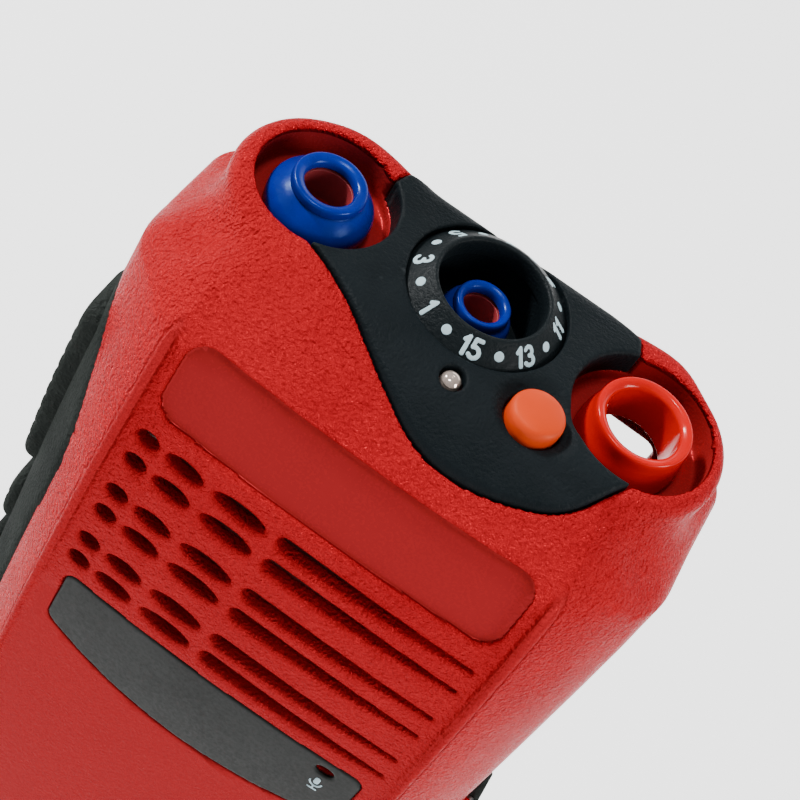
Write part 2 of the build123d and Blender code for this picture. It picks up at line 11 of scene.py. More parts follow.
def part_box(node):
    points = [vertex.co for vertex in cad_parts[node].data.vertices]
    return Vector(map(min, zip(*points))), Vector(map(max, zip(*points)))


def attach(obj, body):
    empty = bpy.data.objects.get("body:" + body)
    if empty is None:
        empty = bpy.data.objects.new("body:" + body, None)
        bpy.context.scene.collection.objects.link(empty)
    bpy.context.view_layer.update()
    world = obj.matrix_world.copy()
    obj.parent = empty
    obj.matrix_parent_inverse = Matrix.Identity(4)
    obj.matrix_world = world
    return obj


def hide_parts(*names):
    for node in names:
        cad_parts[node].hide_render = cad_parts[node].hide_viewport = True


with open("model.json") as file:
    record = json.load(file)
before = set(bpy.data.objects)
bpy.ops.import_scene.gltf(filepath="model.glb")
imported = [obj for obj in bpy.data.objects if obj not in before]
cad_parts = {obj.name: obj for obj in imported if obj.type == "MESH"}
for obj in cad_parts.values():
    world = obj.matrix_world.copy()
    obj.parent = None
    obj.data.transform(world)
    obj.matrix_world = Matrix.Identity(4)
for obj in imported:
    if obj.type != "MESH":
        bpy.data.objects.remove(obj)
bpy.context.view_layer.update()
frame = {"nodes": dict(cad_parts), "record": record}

MM = 0.001


# ---------------------------------------------------------------- places, from the frame
def box_mm(node):
    low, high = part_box(node)
    return np.array(low) / MM, np.array(high) / MM


def centre_mm(node):
    low, high = box_mm(node)
    return (low + high) / 2


ring_low, ring_high = box_mm("channel_number_ring")
dial = centre_mm("channel_number_ring")
volume = centre_mm("volume_shaft_seal")
antenna = centre_mm("antenna_collar")
button = centre_mm("emergency_button")
lens = centre_mm("status_light_lens")
body_low, body_high = box_mm("front_housing")
band_low, band_high = box_mm("front_band_label")
battery_high = box_mm("battery_case")[1]

TOP = body_high[2]                # plane of the head's top
FRONT = body_low[1]               # foremost line of the face
SIDE = battery_high[0] + 0.55     # half width at the shoulders
LOW_SIDE = SIDE - 0.75            # half width low down
HEAD_BACK = 14.6
PARTING = 6.0
WALL = 1.9
WELL_FLOOR = TOP - 4.0
WELL_R = {"volume": 6.75, "antenna": 7.1}
LOBE_R = {"volume": 8.75, "antenna": 8.6}
WELL_HOLE_R = {"volume": 2.3, "antenna": 4.95}
DIAL_HOLE_R, BUTTON_HOLE_R, LENS_HOLE_R = 6.75, 2.85, 1.2
BAY_FLOOR, BAY_FLOOR_TOP = 112.0, 113.6
REAR_WINDOW = {"middle": 119.6, "half": 21.0, "half_high": 5.4, "corner": 1.5, "from": 9.0}
ACCESSORY_Y, ACCESSORY_Z = (-1.5, 3.5), (58.0, 76.0)
DIAL_FLOOR = TOP - 5.9
FACE_R, FACE_Z = 154.0, 85.5      # the face leans back above FACE_Z, on an arc
STRAIGHT_Z, STRAIGHT_LEAN = 129.0, 0.28  # and goes on in a straight line above this height
TAPER_Z = (80.0, 117.0)           # the flanks widen between these heights
CREASE_X, CREASE_DROP = 20.1, 1.0
BEAD = 0.42                       # the fine ridge along each crease
CHEEK_X, CHEEK_DROP, CHEEK_LEAN = 24.2, 5.0, 0.35
INNER_CHEEK, OUTER_CHEEK = (0.698, 0.716), (0.903, 0.43)  # sideways and forward parts of their normals
SHOULDER_DROP, SHOULDER_LEAN = 5.0, 0.9
CROWN_X, CROWN_SLOPE = 17.9, 1.0
REAR_R, SHOULDER_R, CROWN_R = 6.0, 8.5, 9.3
CROWN_REAR_R, LOBE_EDGE_R, FOOT_R = 2.3, 1.9, 1.6
LOBE_FOOT = 117.0
HOLES_FROM, BED_FROM = 120.0, 100.0  # cuts into the roof and its front start at these heights
LABEL = {"top": TOP - 6.4, "bottom": TOP - 15.0, "half": 18.1, "corner": 2.3, "depth": 0.6}
SLOT_ROWS = [TOP - 18.1 - 7.5 * pair - 3.05 * step for pair in range(3) for step in (0, 1)]
MIC = (13.5, TOP - 40.4)
TRIM, TRIM_GAP = 1.6, 0.16
TRIM_RISE = 0.3                   # how far the escutcheon stands above the red skin
SKIRT, SKIRT_Z = 0.75, TOP - 2.6  # its lip inside the two wells
KEYS = ("ptt_button", "side_key_upper", "side_key_lower")
BEZEL_INNER, KEY_INNER = -18.0, -20.0  # how far in the side keys' bed and windows are cut
EAR_X, EAR_OFF = (27.0, 30.0), 3.2     # the two ears that hold the dust cover's pin
RING_R, RING_EDGE, RING_RIM = 7.72, TOP - 0.4, 5.6
DIAL_WELL_R = {"outer": 6.6, "inner": 5.5, "ledge": 4.4, "hole": 2.3, "moat": 7.84}
BUTTON_FIT_R, LENS_SEAT_R = 2.82, 1.18
DISH_R, DISH_LIFT = 6.75, 5.6     # the ball that hollows the trim round the button


# ---------------------------------------------------------------- field tools, in millimetres
def smooth_max(a, b, k):
    h = np.clip(0.5 + 0.5 * (a - b) / k, 0, 1)
    return b + (a - b) * h + k * h * (1 - h)


def smooth_min(a, b, k):
    return -smooth_max(-a, -b, k)


def round_max(a, b, r):
    """Where two surfaces meet at right angles, an edge of radius r."""
    return np.minimum(-r, np.maximum(a, b)) + np.hypot(np.maximum(a + r, 0), np.maximum(b + r, 0))


def cut(a, b, k=0.3):
    return smooth_max(a, -b, k)


def slab(v, low, high):
    return np.maximum(low - v, v - high)


def rect_2d(u, v, half_u, half_v, corner):
    """Signed distance to a rounded rectangle about the origin."""
    qu = np.abs(u) - half_u + corner
    qv = np.abs(v) - half_v + corner
    outside = np.hypot(np.maximum(qu, 0), np.maximum(qv, 0))
    return outside + np.minimum(np.maximum(qu, qv), 0) - corner


def rounded_block(x, y, z, low, high, corner):
    """Signed distance to a box with every edge rounded."""
    middle, half = (low + high) / 2, (high - low) / 2
    q = [np.abs(v - m) - h + corner for v, m, h in zip((x, y, z), middle, half)]
    outside = np.sqrt(sum(np.maximum(v, 0) ** 2 for v in q))
    return outside + np.minimum(np.maximum(np.maximum(q[0], q[1]), q[2]), 0) - corner


def polygon_2d(u, v, points):
    """Signed distance to a closed polygon, negative inside."""
    best = np.full(np.broadcast(u, v).shape, 1e9, np.float32)
    inside = np.zeros(best.shape, bool)
    ring = list(points) + [points[0]]
    for (au, av), (bu, bv) in zip(ring[:-1], ring[1:]):
        du, dv = bu - au, bv - av
        t = np.clip(((u - au) * du + (v - av) * dv) / (du * du + dv * dv + 1e-12), 0, 1)
        best = np.minimum(best, np.hypot(u - au - t * du, v - av - t * dv))
        crosses = (av > v) != (bv > v)
        where = au + (v - av) / (dv if abs(dv) > 1e-9 else 1e-9) * du
        inside ^= crosses & (u < where)
    return np.where(inside, -best, best)


def stroke_2d(u, v, points):
    """Distance to an open line of points."""
    best = np.full(np.broadcast(u, v).shape, 1e9)
    for (au, av), (bu, bv) in zip(points[:-1], points[1:]):
        du, dv = bu - au, bv - av
        t = np.clip(((u - au) * du + (v - av) * dv) / (du * du + dv * dv + 1e-12), 0, 1)
        best = np.minimum(best, np.hypot(u - au - t * du, v - av - t * dv))
    return best


def smooth_curve(points, count):
    """A Catmull-Rom curve through a few points."""
    p = [np.array(q, float) for q in points]
    p = [2 * p[0] - p[1]] + p + [2 * p[-1] - p[-2]]
    out = []
    for a, b, c, d in zip(p[:-3], p[1:-2], p[2:-1], p[3:]):
        for t in np.arange(count) / count:
            out.append(0.5 * (2 * b + (c - a) * t + (2 * a - 5 * b + 4 * c - d) * t * t
                              + (3 * b - a - 3 * c + d) * t ** 3))
    out.append(p[-2])
    return [tuple(q) for q in out]


class Lattice:
    """Three rows of grid lines, closer together where the shape needs it."""

    def __init__(self, xs, ys, zs):
        self.axes = [np.asarray(v, np.float32) for v in (xs, ys, zs)]
        self.x = self.axes[0][:, None, None]
        self.y = self.axes[1][None, :, None]
        self.z = self.axes[2][None, None, :]

    def sample(self, field, points):
        """The field at any points, by linear interpolation."""
        index, part = [], []
        for axis, value in zip(self.axes, points.T):
            i = np.clip(np.searchsorted(axis, value) - 1, 0, len(axis) - 2)
            index.append(i)
            part.append(np.clip((value - axis[i]) / (axis[i + 1] - axis[i]), 0, 1))
        (i, j, k), (a, b, c) = index, part
        total = 0
        for di in (0, 1):
            for dj in (0, 1):
                for dk in (0, 1):
                    weight = (a if di else 1 - a) * (b if dj else 1 - b) * (c if dk else 1 - c)
                    total = total + weight * field[i + di, j + dj, k + dk]
        return total

    def slope(self, field, points, step=0.12):
        """Unit normals of the field at some points."""
        out = np.zeros_like(points)
        for k in range(3):
            shift = np.zeros(3)
            shift[k] = step
            out[:, k] = self.sample(field, points + shift) - self.sample(field, points - shift)
        return out / np.maximum(np.linalg.norm(out, axis=1, keepdims=True), 1e-9)


def run(low, high, step):
    """Evenly spaced grid lines, about one step apart."""
    return list(np.linspace(low, high, max(2, int(round((high - low) / step)) + 1)))


def even_lattice(low, high, step, margin=0.6):
    return Lattice(*[run(a - margin, b + margin, step) for a, b in zip(low, high)])


def field_mesh(name, lattice, field, adaptivity=0.0, band=1.5):
    """A closed mesh of the field's zero surface, with the field's own normals."""
    field = np.ascontiguousarray(np.clip(np.broadcast_to(
        field, [len(a) for a in lattice.axes]), -band, band), dtype=np.float32)
    grid = openvdb.FloatGrid(background=band)
    grid.copyFromArray(field)
    points, triangles, quads = grid.convertToPolygons(isovalue=0.0, adaptivity=adaptivity)
    places = np.stack([np.interp(points[:, k], np.arange(len(lattice.axes[k])), lattice.axes[k])
                       for k in range(3)], axis=1)
    for _ in range(2):
        value = lattice.sample(field, places)
        normals = lattice.slope(field, places)
        places -= normals * np.clip(value, -0.1, 0.1)[:, None] * 0.7
    normals = lattice.slope(field, places, 0.16)
    parts = [np.asarray(faces).reshape(-1, n) for faces, n in ((triangles, 3), (quads, 4)) if len(faces)]
    turned = []
    for faces in parts:
        a, b, c = (places[faces[:, k]] for k in range(3))
        agree = np.sum(np.cross(b - a, c - a) * normals[faces[:, 0]], axis=1)
        turned.append(faces if agree.sum() > 0 else faces[:, ::-1])
    corners = np.concatenate([faces.ravel() for faces in turned])
    sizes = np.concatenate([np.full(len(faces), faces.shape[1]) for faces in turned])
    mesh = bpy.data.meshes.new(name)
    mesh.vertices.add(len(places))
    mesh.vertices.foreach_set("co", (places * MM).astype(np.float32).ravel())
    mesh.loops.add(len(corners))
    mesh.loops.foreach_set("vertex_index", corners.astype(np.int32))
    mesh.polygons.add(len(sizes))
    mesh.polygons.foreach_set("loop_start", np.concatenate([[0], np.cumsum(sizes)[:-1]]).astype(np.int32))
    mesh.update(calc_edges=True)
    mesh.validate()
    mesh.polygons.foreach_set("use_smooth", np.ones(len(mesh.polygons), bool))
    mesh.normals_split_custom_set_from_vertices(normals.astype(float).tolist())
    return mesh, places


def piece(name, mesh, body, material, replaces=()):
    """Places a visible piece on its body and the CAD nodes it stands in for."""
    made = bpy.data.objects.new(name, mesh)
    bpy.context.scene.collection.objects.link(made)
    mesh.materials.append(material)
    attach(made, body)
    if replaces:
        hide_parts(*replaces)
    return made


def lathe(name, profile, at, turns=96):
    """A ring turned about an upright line through (x, y), from (radius, height) points."""
    count = len(profile)
    points, faces = [], []
    for i in range(turns):
        angle = 2 * math.pi * i / turns
        for r, z in profile:
            points.append(((at[0] + r * math.cos(angle)) * MM, (at[1] + r * math.sin(angle)) * MM, z * MM))
    for i in range(turns):
        a, b = i * count, (i + 1) % turns * count
        for j in range(count):
            k = (j + 1) % count
            faces.append((a + j, b + j, b + k, a + k))
    mesh = bpy.data.meshes.new(name)
    mesh.from_pydata(points, [], faces)
    weld(mesh)
    return mesh


def weld(mesh, sharp=50):
    """Joins doubled points, turns every face outwards and marks the sharp edges, in degrees."""
    work = bmesh.new()
    work.from_mesh(mesh)
    bmesh.ops.remove_doubles(work, verts=work.verts, dist=1e-7)
    bmesh.ops.dissolve_degenerate(work, edges=work.edges, dist=1e-7)
    bmesh.ops.recalc_face_normals(work, faces=work.faces)
    work.to_mesh(mesh)
    work.free()
    mesh.polygons.foreach_set("use_smooth", np.ones(len(mesh.polygons), bool))
    mesh.set_sharp_from_angle(angle=math.radians(sharp))


def bend(points, radius=0.3, count=5):
    """A closed (radius, height) outline with each of its corners rounded."""
    out = []
    total = len(points)
    for i in range(total):
        p = np.array(points[i][:2], float)
        size = points[i][2] if len(points[i]) > 2 else radius
        before = np.array(points[i - 1][:2], float) - p
        after = np.array(points[(i + 1) % total][:2], float) - p
        reach_a = min(size, np.linalg.norm(before) * 0.45)
        reach_b = min(size, np.linalg.norm(after) * 0.45)
        if reach_a < 1e-6:
            out.append(tuple(p))
            continue
        a = p + before / np.linalg.norm(before) * reach_a
        b = p + after / np.linalg.norm(after) * reach_b
        for t in np.linspace(0, 1, count):
            out.append(tuple((1 - t) ** 2 * a + 2 * t * (1 - t) * p + t * t * b))
    return out


# ---------------------------------------------------------------- materials
class Shader:
    """A short way to write a node material."""

    def __init__(self, name):
        self.material = bpy.data.materials.new(name)
        self.material.use_nodes = True
        self.tree = self.material.node_tree
        self.tree.nodes.clear()
        self.out = self.tree.nodes.new("ShaderNodeOutputMaterial")
        self.main = self.tree.nodes.new("ShaderNodeBsdfPrincipled")
        self.tree.links.new(self.main.outputs[0], self.out.inputs[0])
        self.place = self.tree.nodes.new("ShaderNodeTexCoord").outputs["Object"]

    def set(self, **values):
        for name, value in values.items():
            self.main.inputs[name.replace("_", " ")].default_value = value

    def link(self, source, target):
        self.tree.links.new(source, target)

    def noise(self, scale, detail=2.0, rough=0.5, stretch=None):
        node = self.tree.nodes.new("ShaderNodeTexNoise")
        node.inputs["Scale"].default_value = scale
        node.inputs["Detail"].default_value = detail
        node.inputs["Roughness"].default_value = rough
        place = self.place
        if stretch:
            mapping = self.tree.nodes.new("ShaderNodeMapping")
            mapping.inputs["Scale"].default_value = stretch
            self.link(place, mapping.inputs["Vector"])
            place = mapping.outputs[0]
        self.link(place, node.inputs["Vector"])
        return node.outputs["Fac"]

    def cells(self, scale, smooth):
        node = self.tree.nodes.new("ShaderNodeTexVoronoi")
        node.feature = "SMOOTH_F1"
        node.inputs["Scale"].default_value = scale
        node.inputs["Smoothness"].default_value = smooth
        self.link(self.place, node.inputs["Vector"])
        return node.outputs["Distance"]

    def math(self, operation, a, b):
        node = self.tree.nodes.new("ShaderNodeMath")
        node.operation = operation
        for value, socket in ((a, node.inputs[0]), (b, node.inputs[1])):
            if isinstance(value, (int, float)):
                socket.default_value = value
            else:
                self.link(value, socket)
        return node.outputs[0]

    def ramp(self, value, low, high, out_low=0.0, out_high=1.0):
        node = self.tree.nodes.new("ShaderNodeMapRange")
        node.inputs["From Min"].default_value = low
        node.inputs["From Max"].default_value = high
        node.inputs["To Min"].default_value = out_low
        node.inputs["To Max"].default_value = out_high
        self.link(value, node.inputs["Value"])
        return node.outputs[0]

    def blend(self, amount, a, b):
        node = self.tree.nodes.new("ShaderNodeMix")
        node.data_type = "RGBA"
        for value, socket in ((amount, node.inputs[0]), (a, node.inputs[6]), (b, node.inputs[7])):
            if isinstance(value, (int, float)):
                socket.default_value = value
            elif isinstance(value, tuple):
                socket.default_value = (*value, 1.0)
            else:
                self.link(value, socket)
        return node.outputs[2]

    def attribute(self, name):
        node = self.tree.nodes.new("ShaderNodeAttribute")
        node.attribute_name = name
        return node.outputs["Fac"]

    def edges(self):
        """Worn edges, from how sharply the surface turns."""
        node = self.tree.nodes.new("ShaderNodeNewGeometry")
        return self.ramp(node.outputs["Pointiness"], 0.54, 0.64)

    def colour(self, value):
        self.link(value, self.main.inputs["Base Color"])

    def rough(self, value):
        self.link(value, self.main.inputs["Roughness"])

    def bump(self, height, distance):
        node = self.tree.nodes.new("ShaderNodeBump")
        node.inputs["Distance"].default_value = distance
        self.link(height, node.inputs["Height"])
        self.link(node.outputs[0], self.main.inputs["Normal"])


def leather_plastic(name, dark, light, grain_mm, depth, base_rough, gloss, flake=0.0,
                    glint=(1, 1, 1), smooth=None):
    """Moulded plastic with a leathery grain; with a smooth colour, only where the grain attribute is 1."""
    s = Shader(name)
    shade = s.blend(s.ramp(s.noise(90, 3, 0.6), 0.35, 0.65), dark, light)
    cell = s.cells(1000 / grain_mm, smooth=0.9)
    fine = s.noise(1000 / grain_mm * 1.25, 2.5, 0.6)
    coarse = s.noise(1000 / grain_mm * 0.45, 2, 0.5)
    height = s.math("ADD", s.math("MULTIPLY", cell, 0.55), s.math("MULTIPLY", fine, 0.9))
    height = s.math("ADD", height, s.math("MULTIPLY", coarse, 0.5))
    rough = s.ramp(fine, 0.3, 0.7, base_rough - 0.08, base_rough + 0.12)
    if smooth:
        grain = s.attribute("grain")
        shade = s.blend(grain, smooth, shade)
        height = s.math("MULTIPLY", height, grain)
        smear = s.ramp(s.noise(260, 3, 0.6, (1, 1, 0.3)), 0.3, 0.7, -0.05, 0.06)
        rough = s.math("ADD", rough, smear)
    s.colour(shade)
    s.rough(rough)
    s.bump(height, depth)
    s.set(Specular_IOR_Level=gloss, Metallic=flake, Specular_Tint=(*glint, 1.0))
    return s.material


def fine_plastic(name, dark, light, base_rough=0.5, grain=3800, depth=0.00003, wear=None, gloss=0.2):
    """Moulded plastic with a fine spark-eroded texture."""
    s = Shader(name)
    tint = s.ramp(s.noise(140, 3, 0.6), 0.3, 0.7)
    shade = s.blend(tint, dark, light)
    if wear:
        shade = s.blend(s.math("MULTIPLY", s.edges(), s.ramp(s.noise(2200, 2), 0.35, 0.75)), shade, wear)
    s.colour(shade)
    fine = s.noise(grain, 3, 0.65)
    s.rough(s.ramp(fine, 0.3, 0.7, base_rough - 0.1, base_rough + 0.12))
    s.bump(fine, depth)
    s.set(Specular_IOR_Level=gloss)
    return s.material


def rubber(name, dark, light, base_rough, glint=(1, 1, 1)):
    """Smooth moulded rubber with faint handling marks."""
    s = Shader(name)
    tint = s.ramp(s.noise(220, 3, 0.55), 0.3, 0.7)
    s.colour(s.blend(tint, dark, light))
    smear = s.noise(700, 3, 0.6)
    s.rough(s.ramp(smear, 0.3, 0.7, base_rough - 0.06, base_rough + 0.1))
    s.bump(s.noise(1500, 2, 0.5), 0.000012)
    s.set(Specular_IOR_Level=0.25, Specular_Tint=(*glint, 1.0))
    return s.material


def metal(name, dark, light, base_rough=0.32, scratch=(1, 1, 12)):
    s = Shader(name)
    line = s.noise(900, 4, 0.6, scratch)
    s.colour(s.blend(s.ramp(line, 0.3, 0.7), dark, light))
    s.rough(s.ramp(line, 0.3, 0.7, base_rough - 0.1, base_rough + 0.12))
    s.bump(line, 0.00001)
    s.set(Metallic=1.0)
    return s.material


RED = leather_plastic("housing_red", (0.34, 0.008, 0.012), (0.38, 0.010, 0.014), 0.36, 0.0007, 0.21, 0.004,
                      flake=0.2, glint=(0.8, 0.55, 0.55), smooth=(0.24, 0.012, 0.014))
TUBE_RED = fine_plastic("tube_red", (0.18, 0.017, 0.021), (0.23, 0.022, 0.026), 0.5)
COLLAR = rubber("collar_red", (0.40, 0.0015, 0.002), (0.46, 0.003, 0.003), 0.14, (1.0, 0.5, 0.45))
TRIM_BLACK = fine_plastic("trim_black", (0.0032, 0.0052, 0.0062), (0.0055, 0.008, 0.0095), 0.44, 2900,
                          0.00013, wear=(0.02, 0.024, 0.026), gloss=0.05)
RING_BLACK = fine_plastic("ring_black", (0.0035, 0.0055, 0.0065), (0.006, 0.0085, 0.0095), 0.4, 2900, 0.0001,
                          gloss=0.07)
BLUE = rubber("seal_blue", (0.0005, 0.0075, 0.13), (0.001, 0.012, 0.2), 0.26, (0.35, 0.55, 1.0))
ORANGE = rubber("button_orange", (0.45, 0.029, 0.001), (0.51, 0.036, 0.002), 0.5, (1.0, 0.6, 0.4))
BAND_BLACK = fine_plastic("band_black", (0.009, 0.010, 0.009), (0.014, 0.0155, 0.0145), 0.5, 2400,
                          0.000015, gloss=0.1)
KEY_BLACK = leather_plastic("rubber_black", (0.013, 0.015, 0.014), (0.022, 0.025, 0.023), 0.5, 0.0003, 0.3,
                            0.0, flake=0.1, glint=(0.5, 0.5, 0.5))
PRINT = fine_plastic("print_grey", (0.30, 0.42, 0.46), (0.4, 0.52, 0.56), 0.6)
BATTERY_BLACK = fine_plastic("battery_black", (0.009, 0.010, 0.011), (0.016, 0.017, 0.018), 0.5, 2600,
                             0.00005, wear=(0.03, 0.031, 0.032))
PLATE = fine_plastic("plate_grey", (0.16, 0.165, 0.17), (0.22, 0.225, 0.23), 0.42, 1500, 0.00001)


def lens_material():
    """Not see-through: partly metallic, for the sparkle of the light pipe."""
    s = Shader("lens_clear")
    shade = s.ramp(s.noise(900, 2), 0.3, 0.7)
    s.colour(s.blend(shade, (0.42, 0.33, 0.28), (0.66, 0.56, 0.5)))
    s.rough(s.ramp(s.noise(2500, 2), 0.3, 0.7, 0.06, 0.16))
    s.set(Metallic=0.75, IOR=1.5)
    return s.material


LENS = lens_material()


# ---------------------------------------------------------------- the body's outer form
def face_shift(z):
    """How far the face has leaned back at a height."""
    high = np.clip(z, FACE_Z, STRAIGHT_Z)
    arc_part = FACE_R - np.sqrt(FACE_R ** 2 - (high - FACE_Z) ** 2)
    return arc_part + np.maximum(z - STRAIGHT_Z, 0) * STRAIGHT_LEAN


def crease_fade(z):
    """1 along the creases, dying away to 0 just below the top."""
    return np.clip((TOP - 2.0 - z) / 4.5, 0, 1)


def body_front(x, y, z):
    """The upright surfaces but the back: a crowned face, two cheeks each side and the flanks."""
    front = FRONT + face_shift(z)
    cheek = FRONT + CHEEK_LEAN * face_shift(z)
    ax = np.abs(x)
    face = (front + CREASE_DROP * (x / CREASE_X) ** 2 - y) * 0.975
    cheek_a = (ax - CREASE_X) * INNER_CHEEK[0] - (y - front - CREASE_DROP) * INNER_CHEEK[1]
    cheek_b = (ax - CHEEK_X) * OUTER_CHEEK[0] - (y - cheek - CHEEK_DROP) * OUTER_CHEEK[1]
    taper = np.clip((z - TAPER_Z[0]) / (TAPER_Z[1] - TAPER_Z[0]), 0, 1)
    flank = ax - (LOW_SIDE + (SIDE - LOW_SIDE) * taper)
    form = smooth_max(face, cheek_a, 0.15)
    bead = BEAD * crease_fade(z)
    form = smooth_min(form, np.hypot(ax - CREASE_X, y - front - CREASE_DROP) - bead, 0.12)
    form = smooth_max(form, cheek_b, 2.6)
    return smooth_max(form, flank, 1.6)


def skin(x, y, z):
    """The whole outer form of the body, signed distance in millimetres."""
    front = body_front(x, y, z)
    plan = round_max(front, y - HEAD_BACK, REAR_R)
    shoulder_top = TOP - SHOULDER_DROP - SHOULDER_LEAN * x / SIDE - 0.3 * np.maximum(y + 2.0, 0)
    shoulders = round_max(plan, z - shoulder_top, SHOULDER_R)
    flare = (np.abs(x) - CROWN_X - (TOP - z) * CROWN_SLOPE) * 0.7
    crown = smooth_max(round_max(front, z - TOP, CROWN_R), flare, 1.5)
    crown = round_max(crown, y - HEAD_BACK + 0.4 - 0.025 * x, CROWN_REAR_R)
    form = smooth_min(shoulders, crown, 1.5)
    for at, radius in ((volume, LOBE_R["volume"]), (antenna, LOBE_R["antenna"])):
        tower = np.hypot(x - at[0], y - at[1]) - radius
        tower = np.maximum(round_max(tower, z - TOP, LOBE_EDGE_R), LOBE_FOOT - z)
        form = smooth_min(form, tower, 2.6)
    form = np.maximum(form, round_max(front, y - HEAD_BACK, CROWN_REAR_R))
    form = smooth_max(form, z - TOP, 0.5)
    return round_max(form, -z, FOOT_R)


def trim_leaf():
    """Plan of the escutcheon, before the wells bite into it."""
    front = [(-16.2, -6.4), (-10.6, -8.9), (-6.2, -11.6), (-2.7, -13.6), (1.7, -15.5), (6.1, -16.0),
             (11.4, -15.1), (15.8, -13.1), (19.0, -8.4)]
    back = [(13.4, 6.9), (10.0, 8.0), (-9.0, 8.0), (-12.2, 7.0)]
    line = smooth_curve(front, 6) + back
    return [(dial[0] + u, dial[1] + v) for u, v in line]


def beside_wells(x, y):
    """How far a place is outside the nearer of the two wells."""
    return np.minimum(np.hypot(x - volume[0], y - volume[1]) - WELL_R["volume"],
                      np.hypot(x - antenna[0], y - antenna[1]) - WELL_R["antenna"])


def trim_plan(x, y):
    leaf = polygon_2d(x, y, trim_leaf())
    for at, radius in ((volume, WELL_R["volume"]), (antenna, WELL_R["antenna"])):
        leaf = np.maximum(leaf, radius - np.hypot(x - at[0], y - at[1]))
    return leaf


def label_plan(x, z):
    """The rounded recess for a label above the speaker slots."""
    height = (LABEL["top"] - LABEL["bottom"]) / 2
    middle = (LABEL["top"] + LABEL["bottom"]) / 2
    return rect_2d(x, z - middle, LABEL["half"], height, LABEL["corner"])


def mic_plan(x, z):
    """The oval microphone hole."""
    return (np.hypot(x - MIC[0], (z - MIC[1]) / 0.62) - 1.0) * 0.62


def band_plan(x, z):
    """The black inlay on the face: straight top, smiling foot, rounded ends."""
    half = (band_high[0] - band_low[0]) / 2
    top, low = band_high[2], band_low[2]
    lift = 3.5
    radius = (half * half + lift * lift) / (2 * lift)
    smile = np.hypot(x, z - (low + radius)) - radius
    smile = np.where(z > low + radius, -10.0, smile)
    form = round_max(np.abs(x) - half, z - top, 1.2)
    return smooth_max(form, smile, 0.8)


def slot_plan(x, z):
    """The speaker slots: dots, ovals and tapering slots in six rows."""
    best = None
    for row in SLOT_ROWS:
        v = z - row
        for centre, half_long, half_high in ((-17.0, 1.2, 0.92), (-12.9, 2.05, 0.92), (-6.8, 2.85, 0.96)):
            u = x - centre
            k = np.hypot(u / half_long, v / half_high)
            g = np.hypot(u / half_long ** 2, v / half_high ** 2)
            oval = k * (k - 1.0) / np.maximum(g, 1e-6)
            best = oval if best is None else np.minimum(best, oval)
        t = np.clip((x + 1.75) / 19.65, 0, 1)
        half = 0.95 - 0.78 * t ** 1.6
        u = np.where(x < -1.75, x + 1.75, np.maximum(x - 17.9, 0))
        best = np.minimum(best, np.hypot(u, v) - half)
    return best


def bezel_plan(y, z):
    """Outline of the side-key surround, seen from the side."""
    edge = [(5.5, 120.6), (-1.6, 120.2), (-6.0, 116.6), (-9.4, 111.4), (-11.7, 106.0), (-12.8, 98.0),
            (-12.8, 76.0), (-10.6, 65.0), (-4.0, 56.8), (5.5, 56.0)]
    return polygon_2d(y, z, smooth_curve(edge, 5))


def key_plan(y, z, node, grow=0.0):
    low, high = box_mm(node)
    half_y = (high[1] - low[1]) / 2 - 0.4 + grow
    half_z = (high[2] - low[2]) / 2 - 0.8 + grow
    middle = (low + high) / 2
    return rect_2d(y - middle[1], z - middle[2], half_y, half_z, 2.6)


# ---------------------------------------------------------------- the red housing
def housing_lattice():
    xs = run(-30.2, 30.4, 0.25)
    ys = run(-19.6, -8.0, 0.25) + run(-7.7, 15.6, 0.33)
    zs = (run(-0.8, 5.0, 0.5) + run(6.4, 50.0, 1.5) + run(50.5, 82.0, 0.55)
          + run(82.25, TOP + 0.8, 0.25))
    return Lattice(xs, ys, zs)


